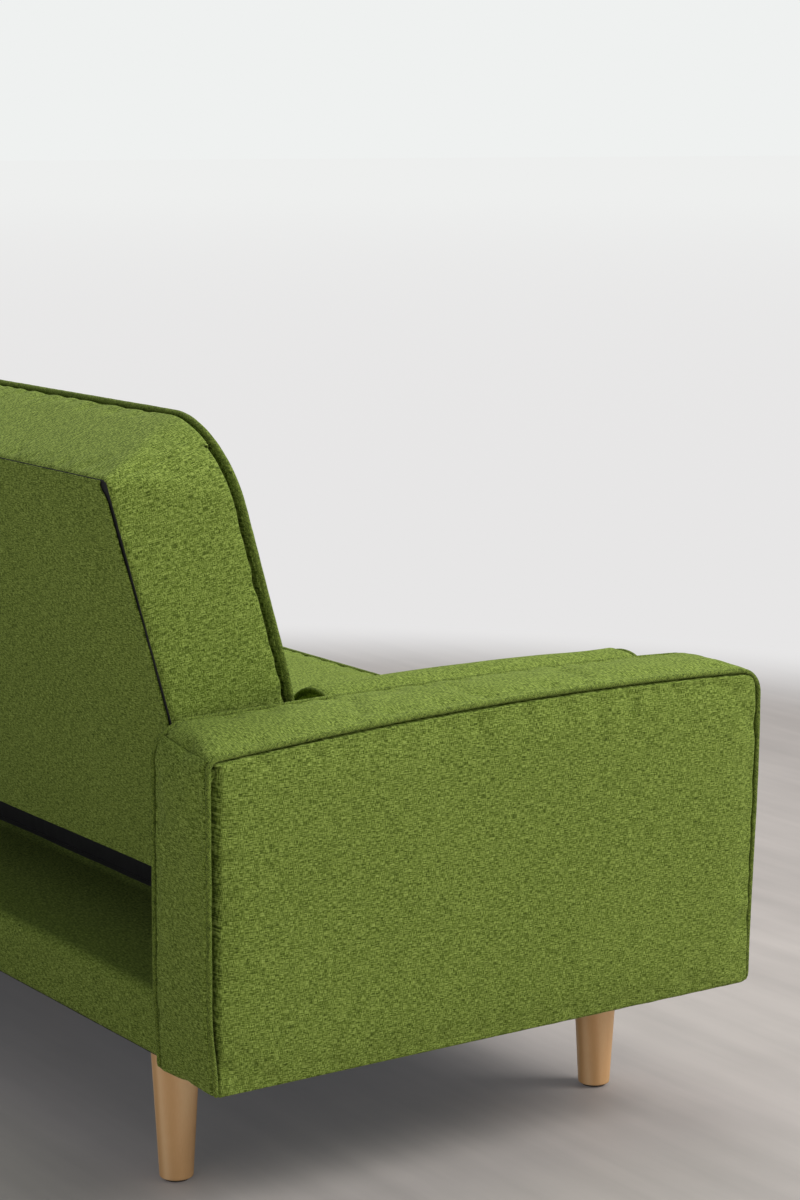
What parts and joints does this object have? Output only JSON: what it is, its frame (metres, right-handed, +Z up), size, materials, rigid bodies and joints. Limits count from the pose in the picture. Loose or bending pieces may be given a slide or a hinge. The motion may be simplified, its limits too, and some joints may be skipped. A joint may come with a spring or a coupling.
{
  "type": "futon sofa bed",
  "caption": "Two-arm upholstered sofa bed with a one-piece piped back that reclines flat on ratchet hinges, tapered wooden legs and loose bolsters.",
  "frame": {"origin": "on the floor, in the middle of the sofa's width and depth", "axes": "+Z up; the sofa faces -Y and its back is at +Y; X runs along its width, with -X at the right hand of somebody sitting on it"},
  "size_m": [2.05, 0.779, 0.8488],
  "materials": {
    "green_fabric": "heathered plain-weave upholstery linen-look, green",
    "green_piping": "bias-cut cord piping in the cover fabric",
    "black_nonwoven": "spun-bonded black lining",
    "beech": "turned beech, matt clear lacquer",
    "pine": "sawn and planed softwood",
    "plywood": "plywood sheet",
    "foam": "open-cell polyurethane foam",
    "spring_steel": "drawn spring wire",
    "black_steel": "black powder coat on pressed steel",
    "felt": "pressed felt glide"
  },
  "bodies": {
    "base": {"arm_left_bottom_rail": "pine", "arm_left_cover": "green_fabric", "arm_left_front_post": "pine", "arm_left_inner_piping": "green_piping", "arm_left_outer_piping": "green_piping", "arm_left_rear_post": "pine", "arm_left_top_rail": "pine", "arm_right_bottom_rail": "pine", "arm_right_cover": "green_fabric", "arm_right_front_post": "pine", "arm_right_inner_piping": "green_piping", "arm_right_outer_piping": "green_piping", "arm_right_rear_post": "pine", "arm_right_top_rail": "pine", "base_centre_rail": "pine", "base_front_rail": "pine", "base_front_wrap": "green_fabric", "base_left_rail": "pine", "base_rear_rail": "pine", "base_rear_wrap": "green_fabric", "base_right_rail": "pine", "dust_cover": "black_nonwoven", "glide_centre": "felt", "glide_front_left": "felt", "glide_front_right": "felt", "glide_rear_left": "felt", "glide_rear_right": "felt", "hinge_left_fixed_leaf": "black_steel", "hinge_left_pin": "black_steel", "hinge_right_fixed_leaf": "black_steel", "hinge_right_pin": "black_steel", "leg_centre": "beech", "leg_front_left": "beech", "leg_front_right": "beech", "leg_rear_left": "beech", "leg_rear_right": "beech", "seat_cover": "green_fabric", "seat_foam": "foam", "seat_front_rail": "pine", "seat_left_rail": "pine", "seat_piping": "green_piping", "seat_rear_lining": "black_nonwoven", "seat_rear_rail": "pine", "seat_right_rail": "pine", "seat_springs": "spring_steel", "shelf_board": "plywood"},
    "back": {"back_bottom_rail": "pine", "back_centre_stile": "pine", "back_cover": "green_fabric", "back_foam": "foam", "back_left_stile": "pine", "back_piping": "green_piping", "back_rear_panel": "green_fabric", "back_right_stile": "pine", "back_springs": "spring_steel", "back_top_rail": "pine", "hinge_left_moving_leaf": "black_steel", "hinge_right_moving_leaf": "black_steel"},
    "bolster_left": {"bolster_left": "green_fabric"},
    "bolster_right": {"bolster_right": "green_fabric"}
  },
  "joints": [
    {"name": "back_recline", "type": "hinge", "parent": "base", "child": "back", "pos_m": [0, 0.1715, 0.36], "axis": [-1, 0, 0], "range_deg": [-10, 74]},
    {"name": "bolster_left_lift", "type": "slide", "parent": "base", "child": "bolster_left", "axis": [0, 0, 1], "range_m": [0, 0.3]},
    {"name": "bolster_right_lift", "type": "slide", "parent": "base", "child": "bolster_right", "axis": [0, 0, 1], "range_m": [0, 0.3]}
  ]
}
